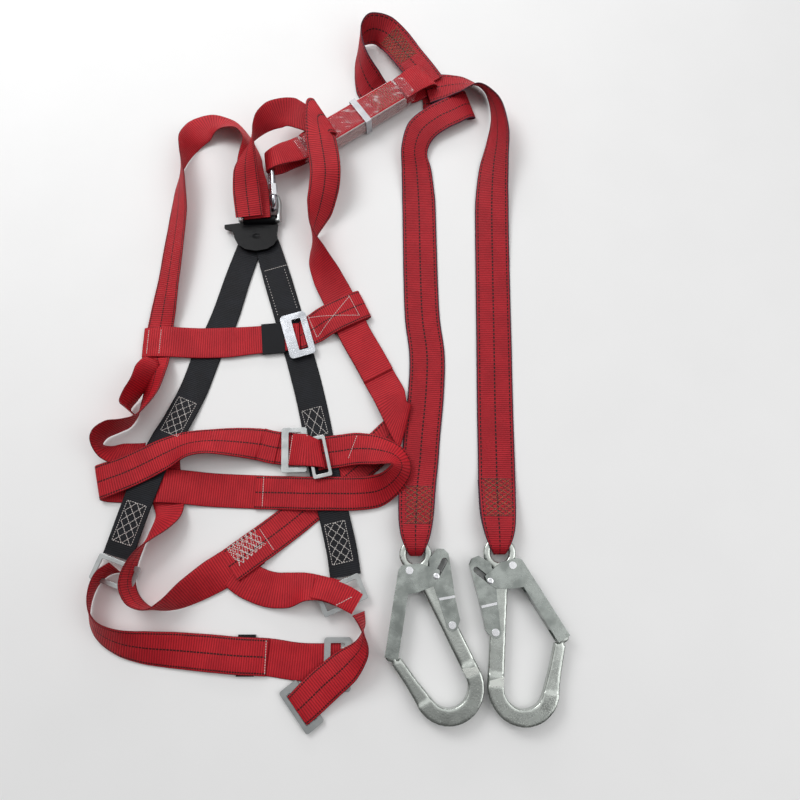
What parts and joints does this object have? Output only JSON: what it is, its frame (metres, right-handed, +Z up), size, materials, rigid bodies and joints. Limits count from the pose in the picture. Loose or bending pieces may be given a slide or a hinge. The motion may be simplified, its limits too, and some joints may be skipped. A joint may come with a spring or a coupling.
{
  "type": "full body safety harness",
  "caption": "Red full body safety harness laid out flat, with a forked shock absorbing lanyard and two steel scaffold hooks.",
  "frame": {"origin": "middle of the bounding box's underside, on the surface the harness lies on", "axes": "+Z up from the surface, +Y from the hooks and leg straps towards the absorber, +X towards the lanyard side"},
  "size_m": [0.6194, 1.0416, 0.0665],
  "materials": {
    "red_webbing": "satin",
    "black_webbing": "matte",
    "elastic": "matte",
    "black_plastic": "matte",
    "zinc_steel": "satin",
    "plated_steel": "polished",
    "clear_cover": "gloss"
  },
  "bodies": {
    "webbing": {"left_shoulder_strap": "red_webbing", "right_shoulder_strap": "red_webbing", "left_hip_strap": "red_webbing", "right_hip_strap": "red_webbing", "left_tail_loop": "red_webbing", "chest_strap_left": "red_webbing", "chest_strap_right": "red_webbing", "belt_front": "red_webbing", "belt_flap": "red_webbing", "belt_back": "red_webbing", "belt_right": "red_webbing", "belt_fold": "red_webbing", "left_leg_strap": "red_webbing", "left_leg_tail": "red_webbing", "right_leg_strap": "red_webbing", "right_leg_tab": "red_webbing", "right_leg_lower": "red_webbing", "back_strap_left": "black_webbing", "back_strap_right": "black_webbing", "leg_keeper": "elastic", "dorsal_pad": "black_plastic", "chest_buckle": "zinc_steel", "waist_frame_left": "zinc_steel", "waist_frame_right": "zinc_steel", "hip_link_left": "zinc_steel", "hip_link_right": "zinc_steel", "leg_buckle": "zinc_steel", "leg_plate": "zinc_steel", "connector_body": "plated_steel", "absorber_core": "red_webbing", "absorber_cover": "clear_cover", "absorber_band": "zinc_steel", "absorber_loop_low": "red_webbing", "absorber_loop_high": "red_webbing", "lanyard_centre": "red_webbing", "lanyard_left": "red_webbing", "lanyard_right": "red_webbing"},
    "d_ring": {"d_ring": "plated_steel"},
    "connector_sleeve": {"connector_sleeve": "plated_steel"},
    "chest_keeper": {"chest_keeper": "elastic"},
    "hook_left": {"hook_left_body": "zinc_steel", "hook_left_gate_rivet": "zinc_steel", "hook_left_lever_rivet": "zinc_steel"},
    "hook_left_gate": {"hook_left_gate": "zinc_steel"},
    "hook_left_lever": {"hook_left_lever": "zinc_steel"},
    "hook_right": {"hook_right_body": "zinc_steel", "hook_right_gate_rivet": "zinc_steel", "hook_right_lever_rivet": "zinc_steel"},
    "hook_right_gate": {"hook_right_gate": "zinc_steel"},
    "hook_right_lever": {"hook_right_lever": "zinc_steel"}
  },
  "joints": [
    {"name": "d_ring_hinge", "type": "hinge", "parent": "webbing", "child": "d_ring", "pos_m": [-0.1072, 0.1728, 0.009], "axis": [1, 0, 0], "range_deg": [-4, 1]},
    {"name": "sleeve_slide", "type": "slide", "parent": "webbing", "child": "connector_sleeve", "axis": [-0.1045, 0.9945, 0], "range_m": [0, 0.014]},
    {"name": "keeper_slide", "type": "slide", "parent": "webbing", "child": "chest_keeper", "axis": [0.9954, 0.0958, 0], "range_m": [-0.012, 0.002]},
    {"name": "hook_left_swivel", "type": "hinge", "parent": "webbing", "child": "hook_left", "pos_m": [0.1193, -0.3082, 0.011], "axis": [0, 0, 1], "range_deg": [-8, 1]},
    {"name": "hook_left_gate_hinge", "type": "hinge", "parent": "hook_left", "child": "hook_left_gate", "pos_m": [0.1113, -0.3282, 0.011], "axis": [0, 0, 1], "range_deg": [0, 26]},
    {"name": "hook_left_lever_hinge", "type": "hinge", "parent": "hook_left", "child": "hook_left_lever", "pos_m": [0.1643, -0.3942, 0.011], "axis": [0, 0, 1], "range_deg": [0, 7.8]},
    {"name": "hook_right_swivel", "type": "hinge", "parent": "webbing", "child": "hook_right", "pos_m": [0.2273, -0.3062, 0.011], "axis": [0, 0, 1], "range_deg": [-1, 40]},
    {"name": "hook_right_gate_hinge", "type": "hinge", "parent": "hook_right", "child": "hook_right_gate", "pos_m": [0.24221, -0.32175, 0.011], "axis": [0, 0, -1], "range_deg": [0, 26]},
    {"name": "hook_right_lever_hinge", "type": "hinge", "parent": "hook_right", "child": "hook_right_lever", "pos_m": [0.21779, -0.4028, 0.011], "axis": [0, 0, -1], "range_deg": [0, 7.8]}
  ],
  "couplings": [
    {"joint": "hook_left_lever_hinge", "follows": "hook_left_gate_hinge", "ratio": 0.3},
    {"joint": "hook_right_lever_hinge", "follows": "hook_right_gate_hinge", "ratio": 0.3}
  ]
}
